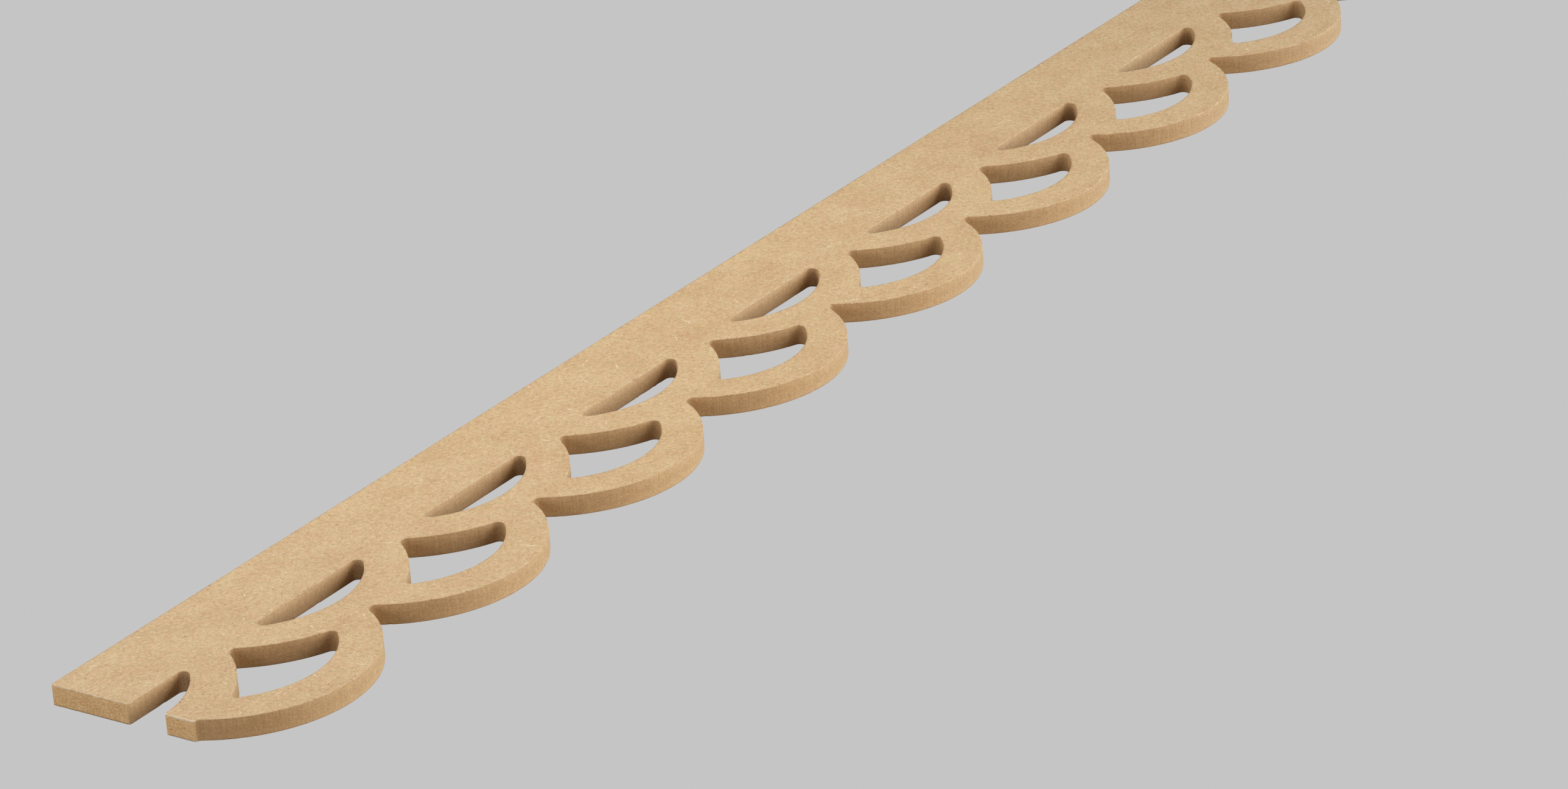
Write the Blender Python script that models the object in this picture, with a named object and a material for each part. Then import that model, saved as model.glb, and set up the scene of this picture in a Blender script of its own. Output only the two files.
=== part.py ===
# Pierced frieze strip: one fibreboard batten, routed right through into two rows of
# lapped rings that end in a scalloped edge. Metres. The board lies on its back with
# its length along X, its straight edge towards +Y and its face up.
import math

import bpy

PITCH = 0.100            # one repeat, from notch to notch
REPEATS = 10             # whole scallops between the two sawn ends
THICKNESS = 0.008
BAND = 0.0346            # solid border between the straight edge and the upper openings
OPENING_DEPTH = 0.0160   # upper opening, flat top to the lowest point of its arc
ROW_STEP = 0.0304        # from the upper ring centres down to the lower ones
UPPER_LAP = 0.0076       # how far an upper ring reaches past half a pitch
LOWER_LAP = 0.0040
UPPER_RIB = 0.0163       # width of an upper ring
LOWER_RIB = 0.0156
CUTTER_RADIUS = 0.0025   # router bit, which rounds every inside corner
CHORD_ERROR = 0.00004    # a round edge is faceted to within this

BOARD_COLOUR = (0.60, 0.41, 0.24, 1.0)
BOARD_ROUGHNESS = 0.85

UPPER_OUTER = PITCH / 2 + UPPER_LAP
LOWER_OUTER = PITCH / 2 + LOWER_LAP
UPPER_INNER = UPPER_OUTER - UPPER_RIB
LOWER_INNER = LOWER_OUTER - LOWER_RIB
WIDTH = BAND + OPENING_DEPTH - UPPER_INNER + ROW_STEP + LOWER_OUTER

EDGE_Y = WIDTH / 2
OPENING_Y = EDGE_Y - BAND
UPPER_Y = OPENING_Y - OPENING_DEPTH + UPPER_INNER
LOWER_Y = UPPER_Y - ROW_STEP
START_X = -PITCH * REPEATS / 2
END_X = -START_X

UP = math.pi / 2
DOWN = 3 * math.pi / 2


def bearing(start, end):
    return math.atan2(end[1] - start[1], end[0] - start[0])


def arc(centre, radius, start, end, turn):
    """Points on a circle from one angle up to, not including, the other.

    turn is 1 for anticlockwise and -1 for clockwise. The number of steps is even,
    so that the arc has a point at its middle.
    """
    sweep = (turn * (end - start)) % (2 * math.pi)
    widest = 2 * math.acos(1 - CHORD_ERROR / radius)
    steps = 2 * math.ceil(sweep / widest / 2)
    angles = [start + turn * sweep * i / steps for i in range(steps)]
    return [(centre[0] + radius * math.cos(a), centre[1] + radius * math.sin(a)) for a in angles]


def crossing(left, left_radius, right, right_radius):
    """The lower point where two circles cross; left lies to the left of right."""
    span = math.dist(left, right)
    along = (left_radius ** 2 - right_radius ** 2 + span ** 2) / (2 * span)
    across = math.sqrt(left_radius ** 2 - along ** 2)
    angle = bearing(left, right)
    return (left[0] + along * math.cos(angle) + across * math.sin(angle),
            left[1] + along * math.sin(angle) - across * math.cos(angle))


def opening_corner(x, side):
    """Cutter centre in one end of the upper opening at x; side is -1 left, 1 right."""
    y = OPENING_Y - CUTTER_RADIUS
    reach = math.sqrt((UPPER_INNER - CUTTER_RADIUS) ** 2 - (y - UPPER_Y) ** 2)
    return (x + side * reach, y)


def notch_centre(x):
    """Cutter centre at the top of the notch between two scallops."""
    return (x, LOWER_Y - math.sqrt((LOWER_OUTER + CUTTER_RADIUS) ** 2 - (PITCH / 2) ** 2))


def upper_opening(x):
    """Flat-topped opening inside the upper ring at x."""
    left = opening_corner(x, -1)
    right = opening_corner(x, 1)
    ring = (x, UPPER_Y)
    return (arc(left, CUTTER_RADIUS, UP, bearing(ring, left), 1)
            + arc(ring, UPPER_INNER, bearing(ring, left), bearing(ring, right), 1)
            + arc(right, CUTTER_RADIUS, bearing(ring, right), UP, 1)
            + [(right[0], OPENING_Y)])


def lower_opening(x):
    """Pointed opening between two upper rings, inside the lower ring at x."""
    left_ring = (x - PITCH / 2, UPPER_Y)
    right_ring = (x + PITCH / 2, UPPER_Y)
    ring = (x, LOWER_Y)
    tip = (x, UPPER_Y - math.sqrt((UPPER_OUTER + CUTTER_RADIUS) ** 2 - (PITCH / 2) ** 2))
    left = crossing(left_ring, UPPER_OUTER + CUTTER_RADIUS, ring, LOWER_INNER - CUTTER_RADIUS)
    right = (2 * x - left[0], left[1])
    return (arc(tip, CUTTER_RADIUS, bearing(tip, right_ring), bearing(tip, left_ring), 1)
            + arc(left_ring, UPPER_OUTER, bearing(left_ring, tip), bearing(left_ring, left), -1)
            + arc(left, CUTTER_RADIUS, bearing(left, left_ring), bearing(ring, left), 1)
            + arc(ring, LOWER_INNER, bearing(ring, left), bearing(ring, right), 1)
            + arc(right, CUTTER_RADIUS, bearing(ring, right), bearing(right, right_ring), 1)
            + arc(right_ring, UPPER_OUTER, bearing(right_ring, right), bearing(right_ring, tip), -1))


def scallop(x):
    """Lower edge of one repeat, from the notch before it to the notch after it."""
    before = notch_centre(x - PITCH / 2)
    after = notch_centre(x + PITCH / 2)
    ring = (x, LOWER_Y)
    return (arc(before, CUTTER_RADIUS, UP, bearing(before, ring), -1)
            + arc(ring, LOWER_OUTER, bearing(ring, before), bearing(ring, after), 1)
            + arc(after, CUTTER_RADIUS, bearing(after, ring), UP, -1))


def sawn_end():
    """End at START_X from the straight edge down, with the half opening that the saw left."""
    corner = opening_corner(START_X, 1)
    ring = (START_X, UPPER_Y)
    return ([(START_X, EDGE_Y), (START_X, OPENING_Y)]
            + arc(corner, CUTTER_RADIUS, UP, bearing(ring, corner), -1)
            + arc(ring, UPPER_INNER, bearing(ring, corner), DOWN, -1)
            + [(START_X, UPPER_Y - UPPER_INNER)])


def board_edge():
    """Outer edge of the strip; the far end mirrors the near one."""
    near = sawn_end()
    far = [(-x, y) for x, y in reversed(near)]
    lower = []
    for i in range(REPEATS):
        lower += scallop(START_X + PITCH * (i + 0.5))
    return near + lower + [(END_X, notch_centre(END_X)[1] + CUTTER_RADIUS)] + far


def add_outline(curve, points):
    """Closed straight-sided spline through the points."""
    spline = curve.splines.new("POLY")
    spline.points.add(len(points) - 1)
    for target, (x, y) in zip(spline.points, points):
        target.co = (x, y, 0, 1)
    spline.use_cyclic_u = True


def board_material():
    material = bpy.data.materials.new("fibreboard")
    material.use_nodes = True
    shader = material.node_tree.nodes["Principled BSDF"]
    shader.inputs["Base Color"].default_value = BOARD_COLOUR
    shader.inputs["Roughness"].default_value = BOARD_ROUGHNESS
    shader.inputs["Metallic"].default_value = 0.0
    return material


def frieze_strip():
    curve = bpy.data.curves.new("frieze_strip", "CURVE")
    curve.dimensions = "2D"
    curve.fill_mode = "BOTH"
    curve.extrude = THICKNESS / 2
    add_outline(curve, board_edge())
    for i in range(1, REPEATS):
        add_outline(curve, upper_opening(START_X + PITCH * i))
    for i in range(REPEATS):
        add_outline(curve, lower_opening(START_X + PITCH * (i + 0.5)))
    strip = bpy.data.objects.new("frieze_strip", curve)
    strip.location.z = THICKNESS / 2
    strip.data.materials.append(board_material())
    return strip


for old in list(bpy.data.objects):
    bpy.data.objects.remove(old, do_unlink=True)

collection = bpy.data.collections.new("frieze_moulding")
bpy.context.scene.collection.children.link(collection)
collection.objects.link(frieze_strip())
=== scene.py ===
import math

import bpy
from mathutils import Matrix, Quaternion, Vector, geometry, noise


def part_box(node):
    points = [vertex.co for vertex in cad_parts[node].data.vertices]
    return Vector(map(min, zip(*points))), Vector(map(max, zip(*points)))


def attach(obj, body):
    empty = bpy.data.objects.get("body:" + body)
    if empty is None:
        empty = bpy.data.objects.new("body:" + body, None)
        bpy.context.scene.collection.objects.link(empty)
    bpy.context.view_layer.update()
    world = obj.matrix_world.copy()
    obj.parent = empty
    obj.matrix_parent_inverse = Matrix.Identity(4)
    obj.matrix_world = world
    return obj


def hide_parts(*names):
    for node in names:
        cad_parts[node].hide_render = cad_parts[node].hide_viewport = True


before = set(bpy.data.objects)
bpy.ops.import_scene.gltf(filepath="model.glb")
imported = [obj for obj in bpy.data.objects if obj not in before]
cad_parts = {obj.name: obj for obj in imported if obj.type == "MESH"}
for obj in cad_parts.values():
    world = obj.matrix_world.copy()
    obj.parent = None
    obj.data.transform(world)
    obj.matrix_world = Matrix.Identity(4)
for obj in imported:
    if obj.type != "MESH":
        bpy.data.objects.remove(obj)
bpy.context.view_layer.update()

low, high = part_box("frieze_strip")
mm = 0.001
up = math.pi / 2
down = 3 * math.pi / 2
fullTurn = 2 * math.pi

# The pattern, worked from the same sizes as the solid.
pattern = {
    "repeats": 10,
    "band": 34.6 * mm,          # solid, along the back
    "openingDepth": 16.0 * mm,  # of the flat-topped openings
    "rowStep": 30.4 * mm,       # from the upper row of rings to the lower
    "upperLap": 7.6 * mm,       # how far a ring reaches past half a repeat
    "lowerLap": 4.0 * mm,
    "upperRib": 16.3 * mm,      # width of a ring
    "lowerRib": 15.6 * mm,
    "cutter": 2.5 * mm,         # radius of the inside corners
    "spacing": 0.8 * mm,        # between points along an edge
    "leastSteps": 10,           # on the smallest arc
}

thickness = high[2] - low[2]
startX, endX, edgeY = low[0], high[0], high[1]
pitch = (endX - startX) / pattern["repeats"]
upperOuter = pitch / 2 + pattern["upperLap"]
lowerOuter = pitch / 2 + pattern["lowerLap"]
upperInner = upperOuter - pattern["upperRib"]
lowerInner = lowerOuter - pattern["lowerRib"]
openingY = edgeY - pattern["band"]
upperY = openingY - pattern["openingDepth"] + upperInner
lowerY = upperY - pattern["rowStep"]
cutter = pattern["cutter"]


def bearing(start, end):
    return math.atan2(end[1] - start[1], end[0] - start[0])


def arc(centre, radius, start, end, turn):
    # turn is 1 anticlockwise, -1 clockwise; the last point is left to whatever follows
    sweep = (turn * (end - start)) % fullTurn
    steps = max(pattern["leastSteps"], 2 * math.ceil(sweep * radius / pattern["spacing"] / 2))
    angles = [start + turn * sweep * i / steps for i in range(steps)]
    return [(centre[0] + radius * math.cos(a), centre[1] + radius * math.sin(a)) for a in angles]


def line(start, end):
    steps = max(1, math.ceil(math.dist(start, end) / pattern["spacing"]))
    shares = [i / steps for i in range(steps)]
    return [(start[0] + (end[0] - start[0]) * s, start[1] + (end[1] - start[1]) * s) for s in shares]


def crossing(left, leftRadius, right, rightRadius):
    # where two circles cross, on the right of the way from the first centre to the second
    span = math.dist(left, right)
    along = (leftRadius ** 2 - rightRadius ** 2 + span ** 2) / (2 * span)
    across = math.sqrt(leftRadius ** 2 - along ** 2)
    angle = bearing(left, right)
    return (left[0] + along * math.cos(angle) + across * math.sin(angle),
            left[1] + along * math.sin(angle) - across * math.cos(angle))


def openingCorner(x, side):
    # the middle of the small arc in an upper corner of a flat-topped opening
    y = openingY - cutter
    return (x + side * math.sqrt((upperInner - cutter) ** 2 - (y - upperY) ** 2), y)


def notchCentre(x):
    # the middle of the small arc between two scallops
    return (x, lowerY - math.sqrt((lowerOuter + cutter) ** 2 - (pitch / 2) ** 2))


def upperOpening(x):
    left, right, ring = openingCorner(x, -1), openingCorner(x, 1), (x, upperY)
    return (arc(left, cutter, up, bearing(ring, left), 1)
            + arc(ring, upperInner, bearing(ring, left), bearing(ring, right), 1)
            + arc(right, cutter, bearing(ring, right), up, 1)
            + line((right[0], openingY), (left[0], openingY)))


def lowerOpening(x):
    leftRing, rightRing, ring = (x - pitch / 2, upperY), (x + pitch / 2, upperY), (x, lowerY)
    tip = (x, upperY - math.sqrt((upperOuter + cutter) ** 2 - (pitch / 2) ** 2))
    left = crossing(leftRing, upperOuter + cutter, ring, lowerInner - cutter)
    right = (2 * x - left[0], left[1])
    return (arc(tip, cutter, bearing(tip, rightRing), bearing(tip, leftRing), 1)
            + arc(leftRing, upperOuter, bearing(leftRing, tip), bearing(leftRing, left), -1)
            + arc(left, cutter, bearing(left, leftRing), bearing(ring, left), 1)
            + arc(ring, lowerInner, bearing(ring, left), bearing(ring, right), 1)
            + arc(right, cutter, bearing(ring, right), bearing(right, rightRing), 1)
            + arc(rightRing, upperOuter, bearing(rightRing, right), bearing(rightRing, tip), -1))


def scallop(x):
    before, after, ring = notchCentre(x - pitch / 2), notchCentre(x + pitch / 2), (x, lowerY)
    return (arc(before, cutter, up, bearing(before, ring), -1)
            + arc(ring, lowerOuter, bearing(ring, before), bearing(ring, after), 1)
            + arc(after, cutter, bearing(after, ring), up, -1))


def boardEdge():
    # the outline from the near end round to the far end, which mirrors it, and back
    corner, ring = openingCorner(startX, 1), (startX, upperY)
    prongTop = (startX, upperY - upperInner)
    prongFoot = (startX, notchCentre(startX)[1] + cutter)
    near = (line((startX, edgeY), (startX, openingY))
            + line((startX, openingY), (corner[0], openingY))
            + arc(corner, cutter, up, bearing(ring, corner), -1)
            + arc(ring, upperInner, bearing(ring, corner), down, -1)
            + line(prongTop, prongFoot))
    lower = []
    for i in range(pattern["repeats"]):
        lower += scallop(startX + pitch * (i + 0.5))
    far = [(-x, y) for x, y in reversed(near[1:])]
    back = line((endX, edgeY), (startX, edgeY))
    return near + lower + [(-prongFoot[0], prongFoot[1])] + far + back


# The arris all round is a little worn, more so where the saw went.
wear = {
    "seed": 7,
    "sideGap": 40.0,            # keeps the wear of the face and of the underside apart
    "inset": 1.1 * mm,          # where the worn rim has faded into the face
    "cornerRoom": 0.4 * mm,     # the same at a square corner
    "roomGrowth": 0.7,          # how fast it widens with the distance from the corner
    "roomUsed": 0.6,            # the most of it that the rounding takes
    "squareTurn": 1.0,          # radians; a turn sharper than this is a square corner
    "cornerReach": 1.2 * mm,    # how far from one its rounding starts
    "cornerSteps": 8,
    "sawnReach": 0.3 * mm,      # how far round such a corner the saw's finish goes
    "backRoughness": 0.4,       # sawn finish of the long back edge, where an end has 1
    "bandTearing": 0.3,         # torn fibres on the broad part of an end, where a prong has 1
    "wornReach": 0.9 * mm,      # rubbed finish round a square corner
    "arris": 0.15 * mm,         # usual rounding of a routed edge
    "arrisSpread": 0.08 * mm,
    "arrisLeast": 0.05 * mm,
    "arrisRipple": 1.3,         # per mm
    "bends": ((0.38, 0.12, 0.3), (0.12, 0.38, 0.7)),    # its points: across, down, how much cut wall
    "sawnArris": 0.38 * mm,
    "sawnFoot": 0.50 * mm,      # the saw leaves more on the underside
    "sawnSpread": 0.16 * mm,
    "chip": 0.35 * mm,          # extra where fibres have broken away
    "chipRipple": 0.44,         # per mm
    "chipStart": 0.42,
    "chipSteepness": 5,
    "rimDepth": 0.5 * mm,       # how far the rim shows down the wall
    "loopGap": 37 * mm,         # so that no two edges carry the same grain
    "weld": 0.000001 * mm,      # points closer than this would be one
}


def isSawn(x, y):
    reach = wear["sawnReach"]
    return x < startX + reach or x > endX - reach or y > edgeY - reach


def sawnShare(x, y):
    # the ends are rough from the saw, the long back edge less so
    if abs(x) > endX - wear["sawnReach"]:
        return 1.0
    return wear["backRoughness"] if isSawn(x, y) else 0.0


def tornShare(x, y):
    # the saw broke fibres out along the top of the ends, most on the narrow prongs
    if abs(x) < endX - wear["inset"]:
        return 0.0
    return 1.0 if y < upperY - upperInner else wear["bandTearing"]


def turnAt(loop, i):
    first = bearing(loop[i - 1], loop[i])
    second = bearing(loop[i], loop[(i + 1) % len(loop)])
    return abs((second - first + math.pi) % fullTurn - math.pi)


def easedLoop(loop):
    # the loop with its square corners rubbed round, and where those corners were
    count, steps = len(loop), wear["cornerSteps"]
    square = [i for i in range(count) if turnAt(loop, i) > wear["squareTurn"]]
    clear = [all(math.dist(here, loop[i]) > wear["cornerReach"] for i in square) for here in loop]
    points = []
    for i, here in enumerate(loop):
        if i in square:
            before = next(loop[i - k] for k in range(1, count) if clear[i - k])
            after = next(loop[(i + k) % count] for k in range(1, count) if clear[(i + k) % count])
            for t in (k / steps for k in range(1, steps)):
                shares = (1 - t) ** 2, 2 * t * (1 - t), t ** 2
                pulls = list(zip(shares, (before, here, after)))
                points.append(tuple(sum(share * end[axis] for share, end in pulls) for axis in (0, 1)))
        elif clear[i]:
            points.append(here)
    return points, [loop[i] for i in square]


def inwardNormals(loop):
    # the board lies to the left of each loop's direction of travel
    count = len(loop)
    normals = []
    for i, here in enumerate(loop):
        before, after = Vector(loop[i - 1]), Vector(loop[(i + 1) % count])
        here = Vector(here)
        first, second = (here - before).normalized(), (after - here).normalized()
        across, acrossNext = Vector((-first.y, first.x)), Vector((-second.y, second.x))
        bisector = (across + acrossNext).normalized()
        normals.append(bisector / max(0.5, bisector.dot(across)))   # at most doubled where it turns
    return normals


def roomAt(loop, corners):
    # how far in the rim may reach at each point, less beside a square corner
    rooms = []
    for here in loop:
        reach = min((math.dist(here, corner) for corner in corners), default=math.inf)
        rooms.append(min(wear["inset"], wear["cornerRoom"] + wear["roomGrowth"] * reach))
    return rooms


def arrisSize(x, y, side):
    # how much is rubbed off there, on the face where side is 1 and on the underside where it is -1
    place = Vector((x / mm, y / mm, wear["sideGap"] * side + wear["seed"]))
    sawn = isSawn(x, y)
    size = wear["arris"]
    spread = wear["sawnSpread"] if sawn else wear["arrisSpread"]
    if sawn:
        size = wear["sawnArris"] if side > 0 else wear["sawnFoot"]
    size += spread * noise.noise(place * wear["arrisRipple"])
    chipping = noise.noise(place * wear["chipRipple"]) - wear["chipStart"]
    size += wear["chip"] * max(0.0, min(1.0, chipping * wear["chipSteepness"]))
    return max(wear["arrisLeast"], size)


def arrisRings(size, room):
    # (distance in from the edge, depth below the face, how much it is cut wall, how much it is rim)
    bends = [(size * across, size * depth, cutShare, 1.0) for across, depth, cutShare in wear["bends"]]
    return ([(room, 0.0, 0.0, 0.0), (size, 0.0, 0.0, 1.0)] + bends
            + [(0.0, size, 1.0, 1.0), (0.0, size + wear["rimDepth"], 1.0, 0.0)])


def ringsFor(x, y, room):
    # these rings with their heights, from the face over the edge and down to the underside
    top, foot = (arrisRings(min(arrisSize(x, y, side), wear["roomUsed"] * room), room) for side in (1, -1))
    upper = [(inset, thickness - depth, cutShare, rimShare) for inset, depth, cutShare, rimShare in top]
    return upper + [(0.0, thickness / 2, 1.0, 0.0)] + foot[::-1]


def boardLoops():
    # the outline, and the openings the other way round
    openings = [upperOpening(startX + pitch * i) for i in range(1, pattern["repeats"])]
    openings += [lowerOpening(startX + pitch * (i + 0.5)) for i in range(pattern["repeats"])]
    return [boardEdge()] + [loop[::-1] for loop in openings]


def marksAlong(loop, travelled):
    # distance along the edge at each point, and at the first point once more
    marks = [travelled]
    for i, here in enumerate(loop):
        marks.append(marks[-1] + math.dist(here, loop[(i + 1) % len(loop)]))
    return marks


def capFaces(spans, vertices, flip):
    # triangles of one flat face: inside the first loop and outside the openings
    order = [i for start, count in spans for i in range(start, start + count)]
    points = [Vector(vertices[i][:2]) for i in order]
    outlines = []
    base = 0
    for _, count in spans:
        outline = list(range(base, base + count))
        outlines.append(outline if base == 0 else outline[::-1])
        base += count
    _, _, triangles, origins, _, owners = geometry.delaunay_2d_cdt(points, [], outlines, 0, wear["weld"])
    faces = []
    for triangle, owner in zip(triangles, owners):
        if owner == [0]:
            corners = [order[origins[i][0]] for i in triangle]
            faces.append(corners[::-1] if flip else corners)
    return faces


def fineMesh(vertices, faces, shares, runs):
    mesh = bpy.data.meshes.new("frieze_strip_fine")
    mesh.from_pydata(vertices, [], faces)
    for name, values in shares.items():
        mesh.attributes.new(name, "FLOAT", "POINT").data.foreach_set("value", values)
    mesh.attributes.new("run", "FLOAT", "CORNER").data.foreach_set("value", runs)
    mesh.shade_smooth()
    mesh.validate()
    return mesh


def stripMesh():
    vertices, faces = [], []
    shares = {"cut": [], "rim": [], "sawn": [], "torn": [], "worn": []}     # at each vertex
    runs = []                       # distance along the edge at each face's corners
    tops, feet = [], []             # the first vertex and the count of each loop's outermost rings
    travelled = 0.0
    for square in boardLoops():
        loop, corners = easedLoop(square)
        normals = inwardNormals(loop)
        count, base = len(loop), len(vertices)
        rings = [ringsFor(x, y, room) for (x, y), room in zip(loop, roomAt(loop, corners))]
        beside = [any(math.dist(here, corner) < wear["wornReach"] for corner in corners) for here in loop]
        depth = len(rings[0])
        marks = marksAlong(loop, travelled)
        travelled = marks[-1] + wear["loopGap"]
        for level in range(depth):
            for (x, y), normal, ring, isWorn in zip(loop, normals, rings, beside):
                inset, height, cutShare, rimShare = ring[level]
                vertices.append((x + normal.x * inset, y + normal.y * inset, height + low[2]))
                values = cutShare, rimShare, sawnShare(x, y), tornShare(x, y), float(isWorn)
                for name, value in zip(shares, values):
                    shares[name].append(value)
        for level in range(depth - 1):
            for i in range(count):
                here, there = base + level * count, base + (level + 1) * count
                after = (i + 1) % count
                faces.append((here + i, there + i, there + after, here + after))
                runs += [marks[i], marks[i], marks[i + 1], marks[i + 1]]
        tops.append((base, count))
        feet.append((base + (depth - 1) * count, count))
    faces += capFaces(tops, vertices, False)
    faces += capFaces(feet, vertices, True)
    runs += [0.0] * (sum(len(face) for face in faces) - len(runs))
    return fineMesh(vertices, faces, shares, runs)


strip = bpy.data.objects.new("frieze_board", stripMesh())
bpy.context.scene.collection.objects.link(strip)
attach(strip, "root")
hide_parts("frieze_strip")
print("board: %d faces" % len(strip.data.polygons))


# how single fibres and dots are drawn
drawing = {
    "bend": 0.05,               # per mm along a fibre
    "shortest": 0.3,            # share of the full length
    "thin": 0.35,               # share of the width where a fibre is full
    "taper": 0.36,              # the same of its length, where its ends begin to fade
    "fibresFull": 0.6,          # share of the fibres that show in full
    "smallest": 0.4,            # share of a dot's full radius
    "hard": 0.5,                # share of it where a dot is full
    "dotsFull": 0.7,
    "skew": (1.7, 0.3),         # how far the second and third axes shift with the first
}


class Wire:
    # a socket that can be reckoned with; node adds any node and gives one of its outputs
    def __init__(self, tree, socket=None):
        self.tree, self.socket = tree, socket

    def node(self, kind, settings, links, output=0):
        made = self.tree.nodes.new("ShaderNode" + kind)
        for name, value in settings.items():
            setattr(made, name, value)
        for name, value in links.items():
            if isinstance(value, Wire):
                self.tree.links.new(value.socket, made.inputs[name])
            else:
                made.inputs[name].default_value = value
        return Wire(self.tree, made.outputs[output])

    def other(self, output):
        return Wire(self.tree, self.socket.node.outputs[output])

    def math(self, operation, *values):
        return self.node("Math", {"operation": operation}, dict(enumerate(values)))

    def __add__(self, value):
        return self.math("ADD", self, value)

    def __radd__(self, value):
        return self.math("ADD", value, self)

    def __sub__(self, value):
        return self.math("SUBTRACT", self, value)

    def __rsub__(self, value):
        return self.math("SUBTRACT", value, self)

    def __mul__(self, value):
        return self.math("MULTIPLY", self, value)

    def __truediv__(self, value):
        return self.math("DIVIDE", self, value)

    def __abs__(self):
        return self.math("ABSOLUTE", self)

    def step(self, start, end):
        # 0 at start and 1 at end, smoothly; falls where end is the smaller
        return self.node("MapRange", {"interpolation_type": "SMOOTHSTEP"},
                         {"Value": self, "From Min": start, "From Max": end})

    def vector(self, operation, value):
        return self.node("VectorMath", {"operation": operation}, {0: self, 1: value})

    def blend(self, under, over, share):
        # one colour laid over another; the Mix node's colours are sockets 6 and 7, and 2 comes out
        return self.node("Mix", {"data_type": "RGBA"}, {0: share, 6: under, 7: over}, 2)

    def feed(self, shader, name):
        self.tree.links.new(self.socket, shader.inputs[name])

    def spread(self, contrast, middle):
        return self * contrast + middle

    def cloud(self, size, shift=0.0, detail=2.0, roughness=0.5, turn=0.0):
        # noise about 0, its spots size mm long, wide and deep
        moved = self.node("Mapping", {"vector_type": "TEXTURE"}, {
            "Vector": self, "Location": (shift, shift, shift), "Rotation": (0.0, 0.0, turn), "Scale": size})
        return moved.node("TexNoise", {}, {"Vector": moved, "Scale": 1.0, "Detail": detail,
                                           "Roughness": roughness}) - 0.5

    def strokes(self, cell, length, width, share, shift):
        # a bent fibre in some of the cells, lying any way; sizes in mm
        moved = self.vector("ADD", (shift, drawing["skew"][0] * shift, 0.0))
        spot = moved.node("TexVoronoi", {"voronoi_dimensions": "2D"},
                          {"Vector": moved, "Scale": 1.0 / cell}, "Position")
        chance = spot.node("TexWhiteNoise", {"noise_dimensions": "2D"}, {"Vector": spot}, "Color")
        chance = chance.node("SeparateColor", {}, {"Color": chance}, "Red")
        across = moved.vector("SUBTRACT", spot)
        across = across.node("VectorRotate", {"rotation_type": "Z_AXIS"},
                             {"Vector": across, "Angle": chance * fullTurn})
        along = across.node("SeparateXYZ", {}, {"Vector": across}, "X")
        off = along.other("Y") + along * along * (chance.other("Green") - 0.5) * drawing["bend"]
        shortest = drawing["shortest"]
        reach = abs(along) / (chance.other("Green") * (1 - shortest) + shortest)
        there = chance.other("Blue").step(1 - share, 1 - share * drawing["fibresFull"])
        body = abs(off).step(width, width * drawing["thin"])
        return body * reach.step(length / 2, length * drawing["taper"]) * there

    def specks(self, cell, radius, share, shift):
        # dots in some of the cells
        moved = self.vector("ADD", (shift, *(skew * shift for skew in drawing["skew"])))
        near = moved.node("TexVoronoi", {}, {"Vector": moved, "Scale": 1.0 / cell}, "Distance")
        chance = near.node("SeparateColor", {}, {"Color": near.other("Color")}, "Red")
        smallest = drawing["smallest"]
        size = chance.other("Green") * (1 - smallest) + smallest
        there = chance.step(1 - share, 1 - share * drawing["dotsFull"])
        return (near * cell / size).step(radius, radius * drawing["hard"]) * there


# Bare fibreboard: a felted tan face with pale straws and dark specks, browner where it is cut; also the
# colours painted for the highlight, the nick shadows and the shade along the arris.
fibreboard = {
    "faceLight": (0.788, 0.613, 0.364, 1.0),
    "faceDark": (0.573, 0.356, 0.176, 1.0),
    "rosyLight": (0.816, 0.593, 0.371, 1.0),
    "rosyDark": (0.598, 0.340, 0.180, 1.0),
    "wallLight": (0.620, 0.421, 0.240, 1.0),
    "wallDark": (0.358, 0.203, 0.086, 1.0),
    "sawnLight": (0.970, 0.735, 0.450, 1.0),
    "sawnDark": (0.660, 0.380, 0.180, 1.0),
    "straw": (0.93, 0.83, 0.64, 1.0),
    "torn": (0.90, 0.80, 0.68, 1.0),
    # dark fibres, and also the painted shade along the rim and at the foot
    "hairAndShade": (0.40, 0.22, 0.11, 1.0),
    "soot": (0.09, 0.05, 0.03, 1.0),
    "gold": (0.80, 0.58, 0.32, 1.0),
    # the painted highlight along the arris
    "pale": (0.93, 0.80, 0.63, 1.0),
    # painted shadow in the nicks along the arris
    "nickShadow": (0.22, 0.12, 0.06, 1.0),
    "roughness": 0.60,
    "roughnessRise": 0.5,       # per mm of relief
    "gloss": 0.5,
}

# size along, across and deep in mm, shift, detail, roughness
clouds = {
    "mottle": ((16.0, 12.0, 16.0), 0.0, 2.0, 0.5),
    "pulp": ((1.7, 1.7, 1.7), 0.0, 4.0, 0.9),
    "blush": ((3.4, 2.6, 3.0), 57.0, 3.0, 0.8),
    "faint": ((2.5, 2.5, 2.5), 91.0, 2.0, 0.5),
    "streaks": ((0.7, 22.0, 1.0), 0.0, 3.0, 0.8),
    "layers": ((7.0, 0.4, 1.0), 19.0, 1.0, 0.5),
    "grain": ((0.9, 0.6, 1.0), 0.0, 3.0, 0.9),
    "clumps": ((4.0, 2.6, 1.0), 71.0, 2.0, 0.5),
    "stain": ((3.0, 2.0, 1.0), 43.0, 2.0, 0.8),
    # lengths along the arris where the painted highlight shows
    "highlightLengths": ((5.0, 60.0, 1.0), 3.0, 3.0, 0.5),
    "chipped": ((9.0, 60.0, 1.0), 47.0, 1.0, 0.5),
    "nicks": ((0.75, 1.1, 1.0), 13.0, 1.0, 0.5),
    "shreds": ((1.7, 60.0, 1.0), 23.0, 3.0, 0.8),
}

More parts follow.
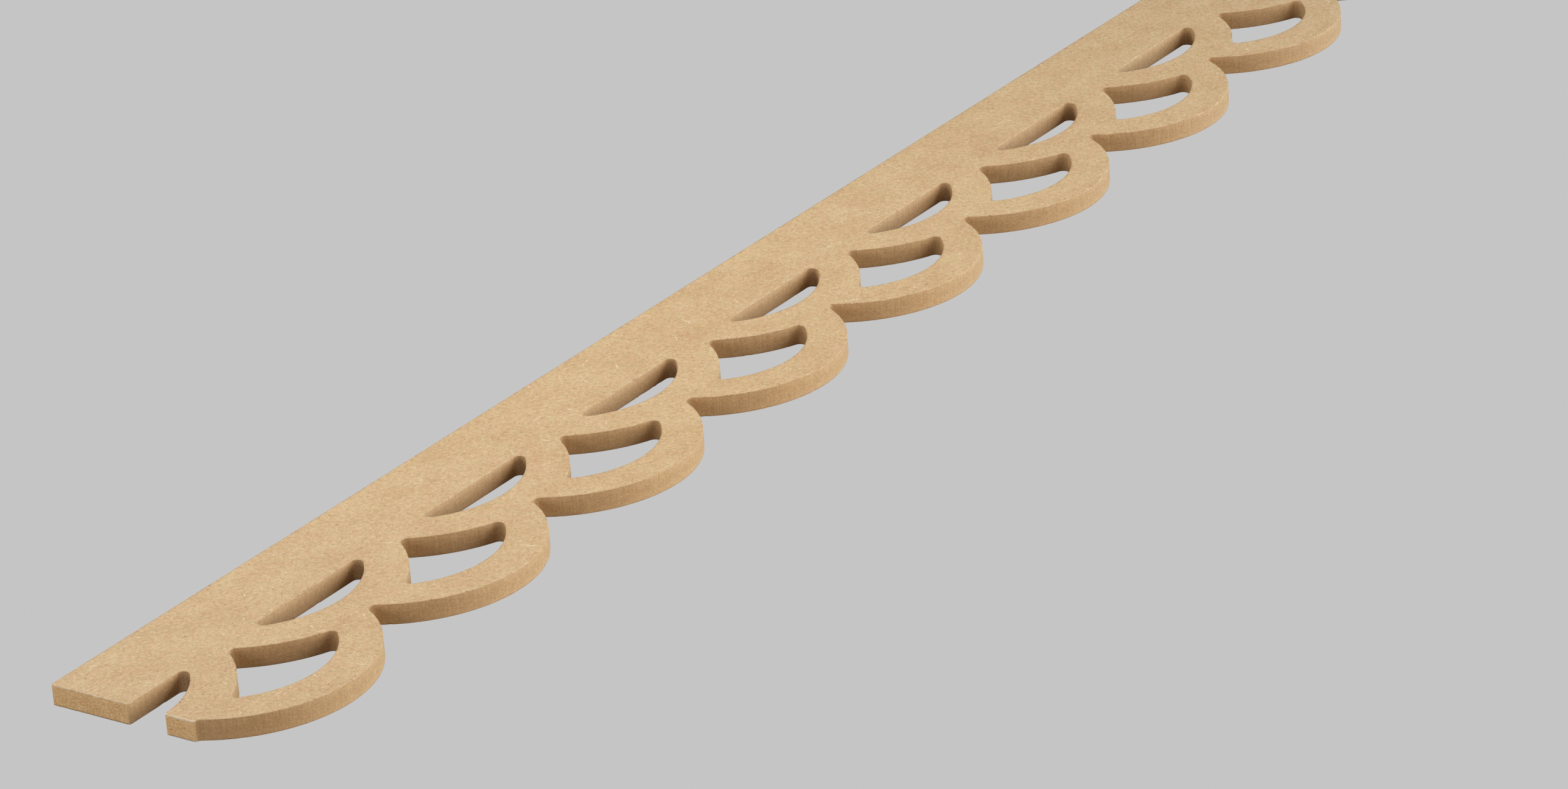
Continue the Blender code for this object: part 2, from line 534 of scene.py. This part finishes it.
# one in a cell of so many mm, its length and width, the share of cells that have one, shift
fibres = {
    "longStraws": (14.0, 8.0, 0.34, 0.35, 3.0),
    "straws": (7.0, 4.5, 0.30, 0.35, 7.0),
    "shortStraws": (2.9, 2.2, 0.36, 0.45, 11.0),
    "longHairs": (5.5, 4.5, 0.22, 0.5, 23.0),
    "hairs": (2.1, 1.6, 0.22, 0.5, 41.0),
    "dashes": (6.0, 1.8, 0.42, 0.4, 83.0),
    "cutDashes": (2.6, 1.8, 0.22, 0.45, 83.0),
}

# one in a cell of so many mm, its radius, the share of cells that have one, shift
dots = {
    "tufts": (6.0, 0.70, 0.35, 61.0),
    "specks": (5.0, 0.30, 0.14, 5.0),
    "blots": (12.0, 0.46, 0.4, 17.0),
    "flecks": (1.3, 0.26, 0.35, 9.0),
    "cutSpecks": (3.4, 0.28, 0.2, 29.0),
}

faceLook = {
    "mottle": 0.7,              # how far each takes the colour from dark to light
    "pulp": 2.2,
    "felt": 0.9,
    "feltFibre": (2.6, 0.32, 1.0),      # mm
    "feltTurns": (13, 58, 103, 148),    # degrees
    "feltShift": 31.0,
    "rosy": (5, 0.4),           # contrast and middle of the rosier patches
    "faint": (3, 0.6),          # and of those where straws show
    "midStraws": 0.5,           # beside the long ones
    "shortStraws": 0.3,
    "longHairs": 0.8,           # beside the short ones
    "straws": 0.72,             # how strongly each shows
    "tufts": 0.5,
    "hairs": 0.42,
    "dashes": 0.55,
    "specks": 0.8,
    "relief": 0.07,             # mm
}


def felted(place):
    # fibres lying in four directions over one another
    layers = [place.cloud(faceLook["feltFibre"], faceLook["feltShift"] * i, 1.0, turn=math.radians(turn))
              for i, turn in enumerate(faceLook["feltTurns"])]
    return layers[0] + layers[1] + layers[2] + layers[3]


def faceFinish(kit, place):
    # colour and height (mm) of the pressed face
    look = faceLook
    mottle, pulp = place.cloud(*clouds["mottle"]), place.cloud(*clouds["pulp"])
    blush, faint = place.cloud(*clouds["blush"]), place.cloud(*clouds["faint"])
    faint = faint.spread(*look["faint"]).step(0.0, 1.0)
    straws = (place.strokes(*fibres["longStraws"]) + place.strokes(*fibres["straws"]) * look["midStraws"]
              + place.strokes(*fibres["shortStraws"]) * look["shortStraws"]) * faint
    tufts = place.specks(*dots["tufts"]) * faint
    hairs = place.strokes(*fibres["longHairs"]) * look["longHairs"] + place.strokes(*fibres["hairs"])
    dashes = place.strokes(*fibres["dashes"])
    specks = place.specks(*dots["specks"]) + place.specks(*dots["blots"])
    shade = 0.5 + mottle * look["mottle"] + pulp * look["pulp"] + felted(place) * look["felt"]
    colour = kit.blend(kit.blend(fibreboard["faceDark"], fibreboard["faceLight"], shade),
                       kit.blend(fibreboard["rosyDark"], fibreboard["rosyLight"], shade),
                       blush.spread(*look["rosy"]))
    colour = kit.blend(colour, fibreboard["straw"], straws * look["straws"] + tufts * look["tufts"])
    colour = kit.blend(colour, fibreboard["hairAndShade"], hairs * look["hairs"] + dashes * look["dashes"])
    colour = kit.blend(colour, fibreboard["soot"], specks * look["specks"])
    return colour, pulp * look["relief"]


# a pair is for a routed wall and for a sawn end
cutLook = {
    "streaks": (0.95, 0.30),    # how far each takes the colour from dark to light
    "layers": 0.2,
    "grain": (2.1, 4.4),
    "clumps": (0.1, 0.9),
    "core": 0.1,                # how much darker the middle of the board is
    "coreReach": (3.2, 1.0),    # mm from its middle where that begins and is full
    "stain": (3, 0.2),          # contrast and middle of the golden patches
    "stains": 0.2,              # how strongly each shows
    "flecks": (0.18, 0.53),
    "dashes": (0.35, 0.65),
    "specks": (0.4, 0.6),
    "streakRelief": 0.02,       # mm
    "grainRelief": (0.035, 0.085),
}


def byCut(sawn, name):
    # the first of a pair where the wall is routed, the second where it is sawn
    routed, rough = cutLook[name]
    return sawn * (rough - routed) + routed


def cutFinish(kit, wall, height, sawn):
    # colour and height (mm) of the routed and sawn edges
    look = cutLook
    streaks, layers, grain = (wall.cloud(*clouds[name]) for name in ("streaks", "layers", "grain"))
    clumps, stain = (wall.cloud(*clouds[name]) for name in ("clumps", "stain"))
    flecks, specks = (wall.specks(*dots[name]) for name in ("flecks", "cutSpecks"))
    dashes = wall.strokes(*fibres["cutDashes"])
    core = abs(height - thickness / mm / 2).step(*look["coreReach"])
    shade = (0.5 + streaks * byCut(sawn, "streaks") + layers * look["layers"] + grain * byCut(sawn, "grain")
             + clumps * byCut(sawn, "clumps") - core * look["core"])
    colour = kit.blend(fibreboard["wallDark"], fibreboard["wallLight"], shade)
    colour = kit.blend(colour, kit.blend(fibreboard["sawnDark"], fibreboard["sawnLight"], shade), sawn)
    colour = kit.blend(colour, fibreboard["gold"], stain.spread(*look["stain"]) * look["stains"])
    colour = kit.blend(colour, fibreboard["straw"], flecks * byCut(sawn, "flecks"))
    colour = kit.blend(colour, fibreboard["hairAndShade"], dashes * byCut(sawn, "dashes"))
    colour = kit.blend(colour, fibreboard["soot"], specks * byCut(sawn, "specks"))
    return colour, streaks * look["streakRelief"] + grain * byCut(sawn, "grainRelief")


arrisLook = {
    "edge": (0.3, 1.0),         # of the rim, where the edge begins and is full
    "line": (0.7, 1.0),         # the same for the pale line
    "nickEdge": (0.25, 0.85),   # and for the nicks
    "foot": (3.0, 1.0),         # mm up the wall
    "highlightLengths": (5, 0.1),         # contrast and middle of the lengths where the painted highlight shows
    "chipped": (-0.02, 0.12),   # where in their clouds these begin and are full
    "nicks": (0.09, 0.17),
    "shreds": (-0.22, 0.10),
    "rimShade": 0.16,               # how strongly each shows
    "worn": 0.6,
    "pale": 0.28,
    "torn": 0.8,
    "footFuzzAndShade": 0.5,
    "nickShadow": 0.65,
    "tornNick": 0.7,            # how much the torn fibres hide of a nick
}


def arrisWearAndPaintedLight(kit, colour, wall, height, rim, torn, worn):
    # painted shade along the rim, a pale painted highlight in lengths along the arris, whitish where it is
    # torn, painted shadow in the nicks and a dark line at the foot, partly fuzz and partly painted shade
    look = arrisLook
    edge, foot = rim.step(*look["edge"]), height.step(*look["foot"])
    highlightLengths, chipped, nicks, shreds = (wall.cloud(*clouds[name])
                                      for name in ("highlightLengths", "chipped", "nicks", "shreds"))
    highlightLengths = highlightLengths.spread(*look["highlightLengths"]).step(0.0, 1.0)
    nicks = nicks.step(*look["nicks"]) * chipped.step(*look["chipped"])
    # painted highlight: a pale line along the top of the arris, in lengths, where the rounded edge catches
    # the light
    pale = rim.step(*look["line"]) * highlightLengths * (1 - foot)
    shreds = edge * torn * shreds.step(*look["shreds"])
    # painted shadow: dark nicks along the rim, where torn-out hollows would be shaded
    nickShadowMask = rim.step(*look["nickEdge"]) * nicks * (1 - torn * look["tornNick"])
    # painted shade: the rim darkened away from the foot, to hold down the light that the rounded arris
    # catches
    colour = kit.blend(colour, fibreboard["hairAndShade"], edge * (1 - foot) * look["rimShade"])
    colour = kit.blend(colour, fibreboard["gold"], worn * look["worn"])
    colour = kit.blend(colour, fibreboard["pale"], pale * look["pale"])
    colour = kit.blend(colour, fibreboard["torn"], shreds * look["torn"])
    # a dark line at the foot of the wall: partly the fuzz of the bottom edge, partly painted contact shade
    colour = kit.blend(colour, fibreboard["hairAndShade"], edge * foot * look["footFuzzAndShade"])
    return kit.blend(colour, fibreboard["nickShadow"], nickShadowMask * look["nickShadow"])


def boardMaterial():
    material = bpy.data.materials.new("bare_fibreboard")
    material.use_nodes = True
    shader = material.node_tree.nodes["Principled BSDF"]
    shader.inputs["Specular IOR Level"].default_value = fibreboard["gloss"]
    kit = Wire(material.node_tree)
    place = kit.node("TexCoord", {}, {}, "Object").vector("MULTIPLY", (1 / mm, 1 / mm, 1 / mm))
    cut, rim, sawn, torn, worn, run = (kit.node("Attribute", {"attribute_name": name}, {}, "Fac")
                                       for name in ("cut", "rim", "sawn", "torn", "worn", "run"))
    height = kit.node("SeparateXYZ", {}, {"Vector": place}, "Z")
    wall = kit.node("CombineXYZ", {}, {"X": run / mm, "Y": height})
    face, faceHeight = faceFinish(kit, place)
    side, sideHeight = cutFinish(kit, wall, height, sawn)
    colour = arrisWearAndPaintedLight(kit, kit.blend(face, side, cut), wall, height, rim, torn, worn)
    relief = faceHeight + (sideHeight - faceHeight) * cut
    colour.feed(shader, "Base Color")
    (relief * fibreboard["roughnessRise"] + fibreboard["roughness"]).feed(shader, "Roughness")
    kit.node("Bump", {}, {"Height": relief, "Distance": mm, "Strength": 1.0}).feed(shader, "Normal")
    return material


strip.data.materials.append(boardMaterial())
print("finish: fibreboard")

# Soft boxes round the strip and a little light coming up off the floor.
studio = {
    "camera": (-1.85572, -1.21652, 0.90141),
    "aim": (-0.1803, -0.0480, 0.0080),
    "roll": -3.828,             # degrees
    "lens": 135.0,
    "sensor": 36.0,
    "clip": (0.05, 100.0),
    "lampsAim": (-0.2, 0.0, 0.0),
    "dim": 0.01,                # light from the room itself
    "floor": 0.558,
    "floorSize": 30.0,
    "bounce": (0.30, 0.24, 0.18, 1.0),      # what the floor throws back up
}

# where each stands, how wide and high, watts, colour
softBoxes = {
    "front": ((-0.3, -0.8, 0.25), 0.6, 0.6, 4.8, (1.0, 0.93, 0.79)),
    "right": ((1.3, -1.4, 0.87), 0.7, 1.5, 42.5, (0.96, 0.985, 1.0)),
    "side": ((2.8, -1.6, 0.50), 1.2, 1.2, 38.0, (0.36, 0.76, 1.0)),
    "left": ((-1.75, 0.9, 0.6), 0.6, 0.6, 8.2, (1.0, 0.93, 0.70)),
    "low": ((-1.9, -0.3, 0.25), 0.6, 0.6, 5.4, (1.0, 0.97, 0.95)),
    "back": ((-0.18, 0.53, 0.6), 0.6, 0.6, 4.1, (1.0, 0.975, 0.905)),
}


def placed(name, data, place, target, roll=0.0):
    away = (Vector(place) - Vector(target)).to_track_quat("Z", "Y")
    thing = bpy.data.objects.new(name, data)
    thing.location = place
    thing.rotation_mode = "QUATERNION"
    thing.rotation_quaternion = away @ Quaternion((0.0, 0.0, 1.0), math.radians(roll))
    bpy.context.scene.collection.objects.link(thing)
    return thing


def addCamera():
    data = bpy.data.cameras.new("camera")
    data.lens, data.sensor_width = studio["lens"], studio["sensor"]
    data.clip_start, data.clip_end = studio["clip"]
    return placed("camera", data, studio["camera"], studio["aim"], studio["roll"])


def addSoftBox(name, place, width, height, watts, colour):
    data = bpy.data.lights.new(name, "AREA")
    data.shape = "RECTANGLE"
    data.size, data.size_y, data.energy, data.color = width, height, watts, colour
    placed(name, data, place, studio["lampsAim"]).visible_camera = False


def addRoom():
    world = bpy.data.worlds.new("room")
    world.use_nodes = True
    background = world.node_tree.nodes["Background"]
    background.inputs["Color"].default_value = (1.0, 1.0, 1.0, 1.0)
    background.inputs["Strength"].default_value = studio["dim"]
    bpy.context.scene.world = world


def floorPlane(name, shaderKind, colour):
    material = bpy.data.materials.new(name)
    material.use_nodes = True
    tree = material.node_tree
    tree.nodes.remove(tree.nodes["Principled BSDF"])
    Wire(tree).node(shaderKind, {}, {"Color": colour}).feed(tree.nodes["Material Output"], "Surface")
    half = studio["floorSize"] / 2
    mesh = bpy.data.meshes.new(name)
    corners = [(-half, -half, 0), (half, -half, 0), (half, half, 0), (-half, half, 0)]
    mesh.from_pydata(corners, [], [(0, 1, 2, 3)])
    mesh.materials.append(material)
    plane = bpy.data.objects.new(name, mesh)
    plane.location.z = low[2]
    bpy.context.scene.collection.objects.link(plane)
    return plane


def addFloor():
    # one plane is the even grey that shows, the other throws light back up at the strip
    shown = floorPlane("pale_floor", "Emission", (studio["floor"],) * 3 + (1.0,))
    shown.visible_diffuse = shown.visible_glossy = shown.visible_shadow = False
    floorPlane("floor_bounce", "BsdfDiffuse", studio["bounce"]).visible_camera = False


bpy.context.scene.camera = addCamera()
for name, box in softBoxes.items():
    addSoftBox(name, *box)
addRoom()
addFloor()
bpy.context.scene.view_settings.view_transform = "Standard"
print("studio: camera, %d soft boxes, room and floor" % len(softBoxes))
